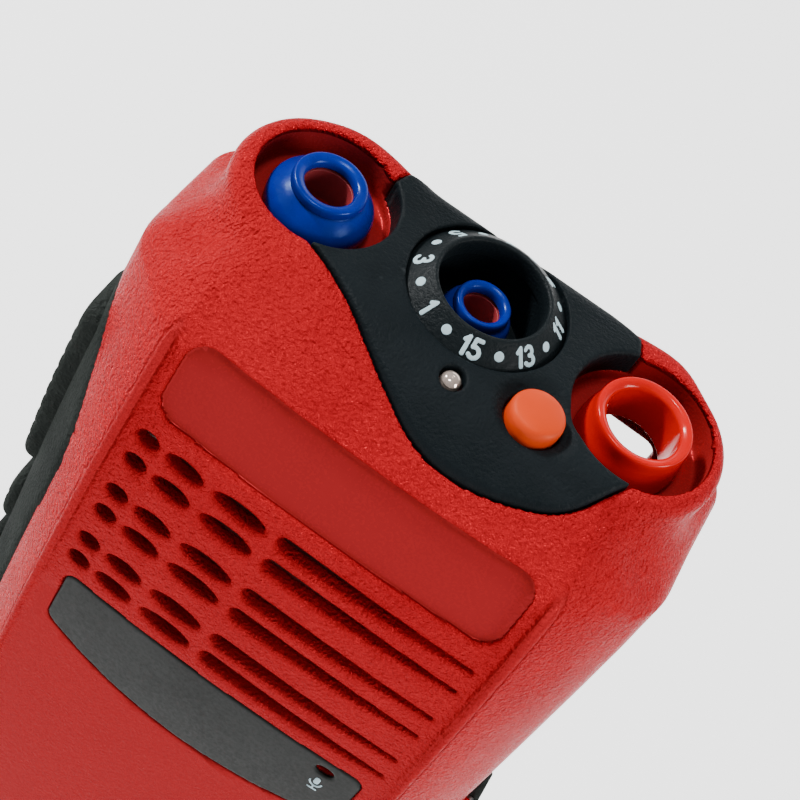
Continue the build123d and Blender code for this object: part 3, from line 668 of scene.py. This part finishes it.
def housing_field(g):
    x, y, z = g.x, g.y, g.z
    outer = skin(x, y, z)
    form = np.maximum(outer, -(outer + WALL))
    # open at the back below the head, with a floor over the battery
    form = cut(form, np.maximum(PARTING - y, z - BAY_FLOOR), 0.3)
    floor = np.maximum(slab(y, PARTING, HEAD_BACK - 1), slab(z, BAY_FLOOR, BAY_FLOOR_TOP))
    form = np.minimum(form, np.maximum(floor, outer))
    window = rect_2d(x, z - REAR_WINDOW["middle"], REAR_WINDOW["half"], REAR_WINDOW["half_high"],
                     REAR_WINDOW["corner"])
    form = cut(form, np.maximum(window, REAR_WINDOW["from"] - y), 0.4)
    # the head's thick roof and the two wells
    roof = np.maximum(outer, (TOP - 3.5) - z)
    form = np.minimum(form, roof)
    for at, well in ((volume, "volume"), (antenna, "antenna")):
        radius, hole = WELL_R[well], WELL_HOLE_R[well]
        off = np.hypot(x - at[0], y - at[1])
        cup = np.maximum(np.maximum(off - radius - 0.8, slab(z, WELL_FLOOR - 1.5, TOP - 2.0)), outer)
        form = np.minimum(form, cup)
        form = cut(form, round_max(off - radius, WELL_FLOOR - z, 0.4), 0.4)
        form = cut(form, np.maximum(off - hole, HOLES_FROM - z), 0.25)
    # bed of the escutcheon, the dial's hole, the button and the lens
    plan = trim_plan(x, y)
    bed = np.maximum(plan - TRIM_GAP, -(outer + TRIM + 0.1))
    form = cut(form, np.maximum(bed, BED_FROM - z), 0.22)
    skirt = np.maximum(np.maximum(plan - TRIM_GAP, beside_wells(x, y) - SKIRT - 0.1), SKIRT_Z - 0.1 - z)
    form = cut(form, skirt, 0.1)
    for at, radius in ((dial, DIAL_HOLE_R), (button, BUTTON_HOLE_R), (lens, LENS_HOLE_R)):
        form = cut(form, np.maximum(np.hypot(x - at[0], y - at[1]) - radius, HOLES_FROM - z), 0.2)
    # label recess, band bed, speaker slots and microphone hole
    label = label_plan(x, z)
    form = cut(form, np.maximum(np.maximum(label, -(outer + LABEL["depth"])), y), 0.35)
    band = band_plan(x, z) - 0.08
    form = cut(form, np.maximum(np.maximum(band, -(outer + 0.5)), y), 0.2)
    form = cut(form, np.maximum(slot_plan(x, z), y), 0.45)
    form = cut(form, np.maximum(mic_plan(x, z), y), 0.2)
    # bed of the side keys and their windows, and the accessory window
    bed = np.maximum(bezel_plan(y, z), -(outer + 1.2))
    form = cut(form, np.maximum(bed, x - BEZEL_INNER), 0.3)
    for node in KEYS:
        form = cut(form, np.maximum(key_plan(y, z, node, 0.25), x - KEY_INNER), 0.2)
    window = np.maximum(slab(y, *ACCESSORY_Y), slab(z, *ACCESSORY_Z))
    form = cut(form, np.maximum(window, 20.0 - x), 0.3)
    pin = centre_mm("dust_cover_hinge_pin")
    for off in (-EAR_OFF, EAR_OFF):
        ear = rounded_block(x, y, z, np.array([EAR_X[0], pin[1] + off - 0.8, pin[2] - 0.9]),
                            np.array([EAR_X[1], pin[1] + off + 0.8, pin[2] + 0.9]), 0.45)
        form = smooth_min(form, ear, 0.3)
    return form


def grain_mask(places):
    """1 where the housing is grained, 0 where it is smooth."""
    x, y, z = places.T
    smooth = np.where((label_plan(x, z) < 0) & (y < 0), 1.0, 0.0)
    face = np.clip((20.5 - np.abs(x)) / 1.5, 0, 1) * np.clip((-y - 8) / 2, 0, 1)
    low = np.clip((LABEL["bottom"] - z) / 24.0, 0, 1) * 0.6 * face
    below = np.clip((96.0 - z) / 3.0, 0, 1) * 0.92 * face
    inside = np.zeros_like(x)
    for at, radius in ((volume, WELL_R["volume"]), (antenna, WELL_R["antenna"])):
        well = (np.hypot(x - at[0], y - at[1]) < radius + 0.25) & (z < TOP - 0.45)
        inside = np.maximum(inside, well.astype(float) * 0.95)
    crease = np.hypot(np.abs(x) - CREASE_X, y - FRONT - face_shift(z) - CREASE_DROP)
    crease = np.clip((0.9 - crease) / 0.3, 0, 1) * 0.6 * crease_fade(z)
    smooth = np.maximum(smooth, crease)
    return 1.0 - np.maximum(np.maximum(smooth, low), np.maximum(below, inside))


def make_housing():
    g = housing_lattice()
    mesh, places = field_mesh("housing_shell", g, housing_field(g), adaptivity=0.02)
    mask = mesh.attributes.new("grain", "FLOAT", "POINT")
    mask.data.foreach_set("value", grain_mask(places).astype(np.float32))
    return piece("housing_shell", mesh, "housing", RED, ["front_housing"])


make_housing()


# ---------------------------------------------------------------- escutcheon, band and bezel
def make_escutcheon():
    low, high = box_mm("top_escutcheon")
    g = even_lattice(low - np.array([0.3, 0.2, 0]), high + np.array([0.2, 0.8, 0.5]), 0.18)
    x, y, z = g.x, g.y, g.z
    outer = skin(x, y, z)
    plan = trim_plan(x, y)
    plate = round_max(plan, outer - TRIM_RISE, 0.42)
    skirt = np.maximum(beside_wells(x, y) - SKIRT, SKIRT_Z - z)
    plate = np.maximum(plate, np.minimum(-(outer + TRIM), skirt))
    off = np.hypot(x - dial[0], y - dial[1])
    well = np.maximum(off - DIAL_WELL_R["outer"], slab(z, DIAL_FLOOR - 1.2, TOP - 1.0))
    form = np.minimum(plate, well)
    form = cut(form, np.maximum(off - DIAL_WELL_R["inner"], DIAL_FLOOR - z), 0.25)
    form = cut(form, np.maximum(off - DIAL_WELL_R["ledge"], DIAL_FLOOR - 0.4 - z), 0.15)
    form = np.maximum(form, DIAL_WELL_R["hole"] - off)
    form = cut(form, np.maximum(off - DIAL_WELL_R["moat"], TOP - 0.7 - z), 0.2)
    at = np.hypot(x - button[0], y - button[1])
    dish = np.sqrt(at ** 2 + (z - TOP - DISH_LIFT) ** 2) - DISH_R
    form = cut(form, dish, 0.35)
    form = np.maximum(form, BUTTON_FIT_R - at)
    spot = np.hypot(x - lens[0], y - lens[1])
    form = cut(form, spot - LENS_SEAT_R, 0.3)
    mesh = field_mesh("escutcheon", g, form)[0]
    return piece("escutcheon", mesh, "housing", TRIM_BLACK, ["top_escutcheon"])


def make_band():
    g = even_lattice(band_low + np.array([0, -0.2, 0]), band_high, 0.22)
    x, y, z = g.x, g.y, g.z
    outer = skin(x, y, z)
    form = round_max(band_plan(x, z), outer + 0.04, 0.15)
    form = np.maximum(form, -(outer + 0.5))
    form = cut(form, mic_plan(x, z), 0.2)
    mesh = field_mesh("front_band", g, form)[0]
    return piece("front_band", mesh, "housing", BAND_BLACK, ["front_band_label"])


def make_bezel():
    low, high = box_mm("side_key_bezel")
    g = even_lattice(low - np.array([0, 2.6, 0]), high + np.array([4.0, 0, 0]), 0.28)
    x, y, z = g.x, g.y, g.z
    outer = skin(x, y, z)
    edge = bezel_plan(y, z) + 0.12
    form = round_max(edge, outer - 0.02, 0.7)
    form = np.maximum(form, -(outer + 1.15))
    for node in KEYS:
        form = cut(form, key_plan(y, z, node, 0.25), 0.35)
    form = np.maximum(form, x - BEZEL_INNER)
    mesh = field_mesh("key_surround", g, form)[0]
    return piece("key_surround", mesh, "housing", KEY_BLACK, ["side_key_bezel"])


def make_key(node, body):
    low, high = box_mm(node)
    g = even_lattice(low, high, 0.22)
    x, y, z = g.x, g.y, g.z
    middle = (low + high) / 2
    plan = key_plan(y, z, node)
    crown = 0.35 * ((z - middle[2]) / (high[2] - low[2]) * 2) ** 2
    bar = round_max(plan, (low[0] + crown) - x, 1.1)
    ribs = 0.18 * np.cos((z - middle[2]) * 2 * np.pi / 2.4)
    reach = np.clip((high[2] - low[2]) / 2 - 4.0 - np.abs(z - middle[2]), 0, 1)
    bar = bar + np.where(x < low[0] + 1.2, np.maximum(ribs, 0) * reach * 0.8, 0)
    bar = np.maximum(bar, x - high[0])
    flange = rounded_block(x, y, z, np.array([high[0] - 0.8, low[1], low[2]]), high, 0.2)
    form = np.minimum(bar, flange)
    mesh = field_mesh(node + "_bar", g, form)[0]
    return piece(node + "_bar", mesh, body, KEY_BLACK, [node])


make_escutcheon()
make_band()
make_bezel()
make_key("ptt_button", "ptt_key")
make_key("side_key_upper", "upper_key")
make_key("side_key_lower", "lower_key")


# ---------------------------------------------------------------- turned pieces on the head
def make_ring():
    """A steep cone with the channel numbers, thin at its inner rim."""
    low, rim = ring_low[2], ring_high[2]
    outline = [(5.2, low, 0.1), (7.8, low, 0.1), (RING_R, RING_EDGE, 0.2), (RING_RIM, rim, 0.3),
               (5.25, rim - 0.15, 0.2), (5.15, rim - 0.9, 0.3)]
    mesh = lathe("dial_ring", bend(outline), dial, 160)
    return piece("dial_ring", mesh, "housing", RING_BLACK, ["channel_number_ring"])


def make_boot(node, name, foot_r, crown_r, hole_r, bulge):
    """A rubber boot: a bulging dome, a fine groove and a thick round lip."""
    low, high = box_mm(node)
    at = centre_mm(node)
    floor, crown = low[2], high[2]
    inner = hole_r + 0.6
    outline = [(inner, floor, 0.05), (foot_r - 0.25, floor, 0.2), (foot_r, floor + 0.9, 0.6),
               (foot_r, floor + bulge, 1.1), (crown_r + 0.5, crown - 1.5, 1.0),
               (crown_r + 0.02, crown - 1.12, 0.25), (crown_r - 0.12, crown - 1.02, 0.08),
               (crown_r + 0.02, crown - 0.85, 0.15), (crown_r - 0.05, crown - 0.1, 0.55),
               ((crown_r + hole_r) / 2 + 0.1, crown, 0.5), (hole_r + 0.05, crown - 0.3, 0.4),
               (hole_r, crown - 1.1, 0.2), (inner, crown - 1.15, 0.05)]
    mesh = lathe(name, bend(outline, count=6), at, 128)
    return piece(name, mesh, "housing", BLUE, [node])


def make_tubes():
    """The red tubes that the two boots stand round."""
    low, high = box_mm("channel_shaft_bushing")
    outline = [(1.8, low[2], 0.05), (2.3, low[2], 0.05), (2.3, high[2], 0.1), (1.8, high[2], 0.1)]
    mesh = lathe("channel_tube", bend(outline), dial, 96)
    piece("channel_tube", mesh, "housing", TUBE_RED, ["channel_shaft_bushing"])
    low, high = WELL_FLOOR - 1.5, TOP - 0.62
    outline = [(2.35, low, 0.05), (2.85, low, 0.05), (2.85, high, 0.1), (2.35, high, 0.1)]
    mesh = lathe("volume_tube", bend(outline), volume, 96)
    piece("volume_tube", mesh, "housing", TUBE_RED)


def make_collar():
    low, high = box_mm("antenna_collar")
    rim = high[2]
    outline = [(3.6, low[2], 0.1), (4.85, low[2], 0.1), (4.85, WELL_FLOOR + 0.02, 0.05),
               (5.15, WELL_FLOOR + 0.02, 0.1), (5.12, WELL_FLOOR + 1.6, 0.8), (4.75, rim - 1.5, 0.6),
               (4.7, rim, 0.55), (4.15, rim, 0.2), (3.62, rim - 0.4, 0.3)]
    mesh = lathe("collar", bend(outline, count=7), antenna, 128)
    return piece("collar", mesh, "housing", COLLAR, ["antenna_collar"])


def make_emergency_button():
    low, high = box_mm("emergency_button")
    outline = [(0.0, low[2], 0.0), (3.1, low[2], 0.1), (3.1, low[2] + 1.0, 0.1), (2.6, low[2] + 1.0, 0.05),
               (2.6, high[2] - 0.3, 0.75), (1.4, high[2], 1.2), (0.0, high[2], 0.0)]
    mesh = lathe("emergency_cap", bend(outline, count=9), button, 96)
    return piece("emergency_cap", mesh, "emergency_button", ORANGE, ["emergency_button"])


def make_lens():
    """A small domed light pipe with a turned step."""
    low, high = box_mm("status_light_lens")
    outline = [(0.0, low[2], 0.0), (0.98, low[2], 0.05), (0.98, high[2] - 0.62, 0.1),
               (0.9, high[2] - 0.5, 0.05), (0.94, high[2] - 0.38, 0.1),
               (0.62, high[2] + 0.06, 0.45), (0.0, high[2] + 0.1, 0.2)]
    mesh = lathe("light_lens", bend(outline, count=6), lens, 64)
    return piece("light_lens", mesh, "housing", LENS, ["status_light_lens"])


make_ring()
make_boot("volume_shaft_seal", "volume_boot", 5.05, 3.55, 2.35, 2.2)
make_boot("channel_shaft_seal", "channel_boot", 3.4, 2.68, 1.8, 2.7)
make_tubes()
make_collar()
make_emergency_button()
make_lens()


# ---------------------------------------------------------------- dial numerals
def arc(cx, cy, rx, ry, start, end, count=9):
    return [(cx + rx * math.cos(math.radians(a)), cy + ry * math.sin(math.radians(a)))
            for a in np.linspace(start, end, count)]


DIGITS = {
    "1": [[(0.0, 0.74), (0.2, 0.98), (0.2, 0.0)]],
    "3": [arc(0.24, 0.74, 0.23, 0.25, 155, -80), arc(0.24, 0.26, 0.26, 0.26, 88, -155)],
    "5": [[(0.48, 0.99), (0.09, 0.99), (0.06, 0.56)] + arc(0.22, 0.3, 0.27, 0.3, 112, -145)],
    "7": [[(0.0, 0.99), (0.48, 0.99), (0.17, 0.0)]],
    "9": [arc(0.25, 0.72, 0.23, 0.27, 0, 360, 17), arc(0.05, 0.72, 0.43, 0.72, 0, -70, 9)],
}
NUMERAL_HEIGHT, STROKE, DOT_R = 1.66, 0.2, 0.47
CHANNEL_1, CHANNEL_STEP = -124.0, 22.5  # degrees round the dial
NUMERAL_LINE = 0.49                     # how far up the cone the numbers' middle line runs


def numeral_field(s, t, text):
    """Distance to a number's strokes, with s to the right and t upwards from its middle."""
    space = 0.3
    widths = [0.2 if c == "1" else 0.5 for c in text]
    left = -(sum(widths) + space * (len(text) - 1)) / 2
    best = None
    for character, wide in zip(text, widths):
        for line in DIGITS[character]:
            line = [((left + u) * NUMERAL_HEIGHT, (v - 0.5) * NUMERAL_HEIGHT) for u, v in line]
            d = stroke_2d(s, t, line)
            best = d if best is None else np.minimum(best, d)
        left += wide + space
    return best - STROKE


def on_cone(places, angle):
    """Moves flat (right, up, height) points onto the dial ring's cone."""
    rise, run_in = ring_high[2] - RING_EDGE, RING_R - RING_RIM
    length = math.hypot(rise, run_in)
    middle = RING_R - run_in * NUMERAL_LINE
    radius = middle - places[:, 1] * run_in / length + places[:, 2] * rise / length
    height = RING_EDGE + NUMERAL_LINE * rise + places[:, 1] * rise / length + places[:, 2] * run_in / length
    turn = angle + places[:, 0] / middle
    return np.stack([dial[0] + radius * np.cos(turn), dial[1] + radius * np.sin(turn), height], axis=1)


def make_numerals():
    """Odd channels as numbers and even ones as dots, once round the ring."""
    all_points, all_faces, start = [], [], 0
    for channel in range(1, 17):
        angle = math.radians(CHANNEL_1 + CHANNEL_STEP * (1 - channel))
        low = np.array([-1.5, -1.15, -0.03])
        g = even_lattice(low, -low, 0.06, 0.08)
        if channel % 2:
            flat = numeral_field(g.x, g.y, str(channel))
        else:
            flat = np.hypot(g.x, g.y) - DOT_R
        form = np.maximum(flat, np.abs(g.z) - 0.035)
        mesh, places = field_mesh("numeral", g, form, band=0.3)
        moved = on_cone(places, angle)
        all_points.append(moved)
        all_faces += [[start + v for v in p.vertices] for p in mesh.polygons]
        start += len(moved)
        bpy.data.meshes.remove(mesh)
    mesh = bpy.data.meshes.new("dial_numerals")
    mesh.from_pydata((np.concatenate(all_points) * MM).tolist(), [], all_faces)
    weld(mesh, 40)
    return piece("dial_numerals", mesh, "housing", PRINT)


def make_pictogram():
    """A small microphone drawn on the inlay below the microphone's hole."""
    middle = (MIC[0], MIC[1] - 2.35)
    low = np.array([middle[0] - 1.4, FRONT - 0.3, middle[1] - 1.6])
    high = np.array([middle[0] + 1.4, FRONT + 1.6, middle[1] + 1.6])
    g = Lattice(run(low[0], high[0], 0.07), run(low[1], high[1], 0.05), run(low[2], high[2], 0.07))
    u, v = g.x - middle[0], g.z - middle[1]
    capsule = stroke_2d(u, v, [(0, 0.25), (0, 0.75)]) - 0.3
    cradle = stroke_2d(u, v, arc(0, 0.2, 0.62, 0.62, 180, 360, 13)) - 0.1
    stand = stroke_2d(u, v, [(0, -0.42), (0, -0.95)]) - 0.1
    foot = stroke_2d(u, v, [(-0.45, -0.98), (0.45, -0.98)]) - 0.1
    flat = np.minimum(np.minimum(capsule, cradle), np.minimum(stand, foot))
    outer = skin(g.x, g.y, g.z)
    form = np.maximum(flat, np.abs(outer + 0.035) - 0.05)
    mesh = field_mesh("microphone_mark", g, form, band=0.3)[0]
    return piece("microphone_mark", mesh, "housing", PRINT)


make_numerals()
make_pictogram()


# ---------------------------------------------------------------- finishes of the CAD pieces
def dress():
    """One finish for each material slot; the felt is given a dark red as painted shade, standing in for the
    shaded red hollow behind the slots.
    """
    steel = metal("steel_plated", (0.42, 0.42, 0.4), (0.6, 0.6, 0.57))
    gold = metal("contact_gold", (0.72, 0.5, 0.16), (0.86, 0.64, 0.25), 0.25)
    cast = metal("cast_alloy", (0.3, 0.3, 0.3), (0.46, 0.46, 0.46), 0.5, (1, 1, 1))
    tin = metal("tin_can", (0.5, 0.5, 0.48), (0.66, 0.66, 0.63), 0.3)
    board = fine_plastic("board_green", (0.01, 0.1, 0.04), (0.02, 0.17, 0.07), 0.3)
    plain = fine_plastic("connector_black", (0.015, 0.015, 0.015), (0.025, 0.025, 0.025), 0.45)
    ivory = fine_plastic("connector_ivory", (0.5, 0.46, 0.35), (0.6, 0.56, 0.45), 0.5)
    seal = rubber("seal_black", (0.01, 0.01, 0.01), (0.02, 0.02, 0.02), 0.45)
    flex = fine_plastic("flex_amber", (0.3, 0.13, 0.02), (0.42, 0.2, 0.04), 0.25)
    # painted shade: this dark red on the felt and the speaker cone stands in for the shade behind the
    # speaker slots
    painted_shade_felt = fine_plastic("felt_black", (0.05, 0.006, 0.006), (0.08, 0.01, 0.01), 0.9, 2500, 0.0001)
    cell = fine_plastic("cell_wrap", (0.02, 0.09, 0.25), (0.03, 0.13, 0.33), 0.3)
    magnet = metal("magnet_grey", (0.1, 0.1, 0.11), (0.18, 0.18, 0.19), 0.45)
    finishes = {
        "steel_plated": steel, "contact_gold": gold, "cast_alloy": cast, "tin_can": tin,
        "board_green": board, "connector_black": plain, "connector_ivory": ivory, "seal_black": seal,
        "flex_amber": flex, "felt_black": painted_shade_felt, "cone_black": painted_shade_felt, "cell_wrap": cell,
        "magnet_grey": magnet, "battery_black": BATTERY_BLACK, "plate_grey": PLATE,
        "latch_black": BATTERY_BLACK, "rubber_black": KEY_BLACK, "housing_red": RED,
        "trim_black": TRIM_BLACK, "seal_blue": BLUE, "collar_red": COLLAR, "button_orange": ORANGE,
        "lens_clear": LENS, "band_black": BAND_BLACK, "switch_metal": steel, "led_white": ivory,
    }
    for part in frame["record"]["subparts"]:
        thing = frame["nodes"][part["node"]]
        thing.data.materials.clear()
        thing.data.materials.append(finishes[part["material_slot"]])


dress()


# ---------------------------------------------------------------- floor, light and camera
def make_stage():
    floor = bpy.data.materials.new("floor_pale")
    floor.use_nodes = True
    shader = floor.node_tree.nodes["Principled BSDF"]
    shader.inputs["Base Color"].default_value = (0.93, 0.93, 0.93, 1)
    shader.inputs["Roughness"].default_value = 0.9
    shader.inputs["Specular IOR Level"].default_value = 0.0
    shader.inputs["Emission Color"].default_value = (1, 1, 1, 1)
    shader.inputs["Emission Strength"].default_value = 0.8
    mesh = bpy.data.meshes.new("floor")
    size = 4.0
    mesh.from_pydata([(-size, -size, 0), (size, -size, 0), (size, size, 0), (-size, size, 0)], [],
                     [(0, 1, 2, 3)])
    mesh.materials.append(floor)
    made = bpy.data.objects.new("floor", mesh)
    bpy.context.scene.collection.objects.link(made)


def make_light(name, at, aim, size, power):
    lamp = bpy.data.lights.new(name, "AREA")
    lamp.shape = "RECTANGLE"
    lamp.size, lamp.size_y = size
    lamp.energy = power
    made = bpy.data.objects.new(name, lamp)
    made.location = at
    made.rotation_euler = (Vector(aim) - Vector(at)).to_track_quat("-Z", "Y").to_euler()
    bpy.context.scene.collection.objects.link(made)


def make_lights():
    """A dim room with a bright horizon, which the floor runs out into, and four lamps."""
    world = bpy.data.worlds.new("studio")
    world.use_nodes = True
    tree = world.node_tree
    place = tree.nodes.new("ShaderNodeTexCoord")
    split = tree.nodes.new("ShaderNodeSeparateXYZ")
    fade = tree.nodes.new("ShaderNodeMapRange")
    fade.inputs["From Min"].default_value = 0.03
    fade.inputs["From Max"].default_value = 0.16
    fade.inputs["To Min"].default_value = 2.3
    fade.inputs["To Max"].default_value = 0.42
    tree.links.new(place.outputs["Generated"], split.inputs[0])
    tree.links.new(split.outputs["Z"], fade.inputs["Value"])
    tree.links.new(fade.outputs[0], tree.nodes["Background"].inputs["Strength"])
    tree.nodes["Background"].inputs["Color"].default_value = (1, 1, 1, 1)
    bpy.context.scene.world = world
    head = (0, 0, 0.12)
    make_light("key", (-0.78, 0.16, 0.7), head, (0.1, 0.1), 17.0)
    make_light("fill", (0.6, -0.08, 0.36), head, (0.25, 0.25), 4.2)
    make_light("top", (-0.1, -0.02, 0.8), head, (0.12, 0.12), 3.2)
    make_light("back", (0.12, 0.55, 0.32), head, (0.4, 0.3), 0.9)


def make_camera():
    """The photo's view: 49 degrees down, rolled by 35 degrees."""
    depression, yaw, roll = math.radians(49.2), math.radians(-0.8), math.radians(35)
    forward = Vector((math.sin(yaw) * math.cos(depression), math.cos(yaw) * math.cos(depression),
                      -math.sin(depression)))
    right = Vector((math.cos(yaw), -math.sin(yaw), 0))
    down = forward.cross(right)
    cam_right = right * math.cos(roll) - down * math.sin(roll)
    cam_up = -(right * math.sin(roll) + down * math.cos(roll))
    data = bpy.data.cameras.new("camera")
    data.lens, data.sensor_width = 90.0, 36.0
    data.clip_start = 0.01
    made = bpy.data.objects.new("camera", data)
    at = Vector((dial[0] + 0.5, dial[1] - 123.4, TOP + 124.9)) * MM
    turn = Matrix((cam_right, cam_up, -forward)).transposed()
    made.matrix_world = Matrix.Translation(at) @ turn.to_4x4()
    bpy.context.scene.collection.objects.link(made)
    bpy.context.scene.camera = made


make_stage()
make_lights()
make_camera()
